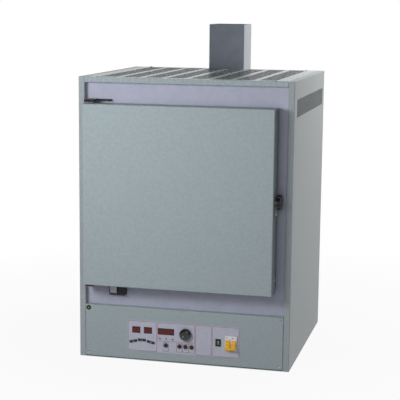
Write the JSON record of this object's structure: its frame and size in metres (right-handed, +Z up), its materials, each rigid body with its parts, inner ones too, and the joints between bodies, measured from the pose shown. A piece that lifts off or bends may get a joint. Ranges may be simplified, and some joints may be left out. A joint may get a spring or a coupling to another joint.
{
  "type": "muffle furnace",
  "caption": "Laboratory muffle furnace in a slotted sheet-steel casing, with a side-hinged door, a ceramic chamber, a rear exhaust duct and a control panel below.",
  "frame": {"origin": "centre of the casing's rectangular footprint, at floor level", "axes": "+X to the user's right, +Y from the front to the back, +Z up"},
  "size_m": [0.63, 0.747, 0.973],
  "materials": {
    "casing_paint": "satin",
    "plate_paint": "satin",
    "zinc_steel": "satin",
    "duct_steel": "satin",
    "brass": "polished",
    "fibre": "matte",
    "muffle_ceramic": "matte",
    "heater_alloy": "matte",
    "black_plastic": "satin",
    "dial_plastic": "gloss",
    "faceplate_grey": "satin",
    "display_red": "gloss",
    "lamp_red": "gloss",
    "key_grey": "satin",
    "rocker_green": "gloss",
    "breaker_white": "satin",
    "handle_amber": "gloss",
    "board_green": "satin",
    "core_steel": "matte",
    "sink_aluminium": "satin"
  },
  "bodies": {
    "casing": {"base_pan": "zinc_steel", "breaker_body": "breaker_white", "button_bezels": "black_plastic", "cable_gland": "black_plastic", "casing_screws": "zinc_steel", "control_board": "board_green", "control_panel": "casing_paint", "displays": "display_red", "earth_screw": "brass", "exhaust_duct": "duct_steel", "exhaust_tube": "muffle_ceramic", "faceplate": "faceplate_grey", "front_plate": "plate_paint", "hearth_plate": "muffle_ceramic", "heat_sink": "sink_aluminium", "heater_coils": "heater_alloy", "heater_plates": "muffle_ceramic", "hinge_brackets": "zinc_steel", "hinge_pins": "brass", "inner_shelf": "zinc_steel", "insulation_jacket": "zinc_steel", "interlock_body": "black_plastic", "latch_keeper": "zinc_steel", "left_side_panel": "casing_paint", "mounting_rail": "zinc_steel", "muffle_chamber": "muffle_ceramic", "muffle_insulation": "fibre", "potentiometer": "black_plastic", "power_regulator": "black_plastic", "rear_cover": "casing_paint", "right_side_panel": "casing_paint", "rocker_housing": "black_plastic", "status_lamps": "lamp_red", "terminal_block": "breaker_white", "thermocouple_head": "zinc_steel", "thermocouple_sheath": "muffle_ceramic", "top_cover": "casing_paint", "transformer": "core_steel"},
    "door": {"door_pan": "casing_paint", "door_liner": "casing_paint", "door_insulation": "fibre", "door_gasket": "fibre", "door_screws": "zinc_steel", "hinge_lugs": "zinc_steel", "hinge_bushes": "brass", "latch_bush": "brass", "interlock_tab": "casing_paint"},
    "latch": {"latch_knob": "black_plastic", "latch_hook": "zinc_steel"},
    "dial": {"power_dial": "dial_plastic"},
    "rocker": {"rocker_key": "rocker_green"},
    "breaker_toggle": {"breaker_handle": "handle_amber"},
    "plunger": {"interlock_plunger": "black_plastic"},
    "button_1": {"round_button_1": "black_plastic"},
    "button_2": {"round_button_2": "black_plastic"},
    "button_3": {"round_button_3": "black_plastic"},
    "button_4": {"round_button_4": "black_plastic"},
    "key_left": {"slim_key_left": "key_grey"},
    "key_middle": {"slim_key_middle": "key_grey"},
    "key_right": {"slim_key_right": "key_grey"}
  },
  "joints": [
    {"name": "door_hinge", "type": "hinge", "parent": "casing", "child": "door", "pos_m": [-0.28, -0.308, 0.4935], "axis": [0, 0, -1], "range_deg": [0, 105]},
    {"name": "latch_turn", "type": "hinge", "parent": "door", "child": "latch", "pos_m": [0.271, -0.3075, 0.4935], "axis": [1, 0, 0], "range_deg": [0, 90]},
    {"name": "dial_turn", "type": "hinge", "parent": "casing", "child": "dial", "pos_m": [0.01, -0.3, 0.089], "axis": [0, 1, 0], "range_deg": [0, 270]},
    {"name": "rocker_tilt", "type": "hinge", "parent": "casing", "child": "rocker", "pos_m": [0.107, -0.2875, 0.0715], "axis": [1, 0, 0], "range_deg": [-24, 0]},
    {"name": "breaker_throw", "type": "hinge", "parent": "casing", "child": "breaker_toggle", "pos_m": [0.145, -0.2885, 0.0722], "axis": [1, 0, 0], "range_deg": [-96, 0]},
    {"name": "plunger_slide", "type": "slide", "parent": "casing", "child": "plunger", "axis": [0, 1, 0], "range_m": [0, 0.003], "stiffness_N_per_m": 200, "springref_m": -0.001},
    {"name": "button_1_press", "type": "slide", "parent": "casing", "child": "button_1", "axis": [0, 1, 0], "range_m": [0, 0.002], "stiffness_N_per_m": 200, "springref_m": -0.001},
    {"name": "button_2_press", "type": "slide", "parent": "casing", "child": "button_2", "axis": [0, 1, 0], "range_m": [0, 0.002], "stiffness_N_per_m": 200, "springref_m": -0.001},
    {"name": "button_3_press", "type": "slide", "parent": "casing", "child": "button_3", "axis": [0, 1, 0], "range_m": [0, 0.002], "stiffness_N_per_m": 200, "springref_m": -0.001},
    {"name": "button_4_press", "type": "slide", "parent": "casing", "child": "button_4", "axis": [0, 1, 0], "range_m": [0, 0.002], "stiffness_N_per_m": 200, "springref_m": -0.001},
    {"name": "key_left_press", "type": "slide", "parent": "casing", "child": "key_left", "axis": [0, 1, 0], "range_m": [0, 0.001], "stiffness_N_per_m": 300, "springref_m": -0.001},
    {"name": "key_middle_press", "type": "slide", "parent": "casing", "child": "key_middle", "axis": [0, 1, 0], "range_m": [0, 0.001], "stiffness_N_per_m": 300, "springref_m": -0.001},
    {"name": "key_right_press", "type": "slide", "parent": "casing", "child": "key_right", "axis": [0, 1, 0], "range_m": [0, 0.001], "stiffness_N_per_m": 300, "springref_m": -0.001}
  ]
}
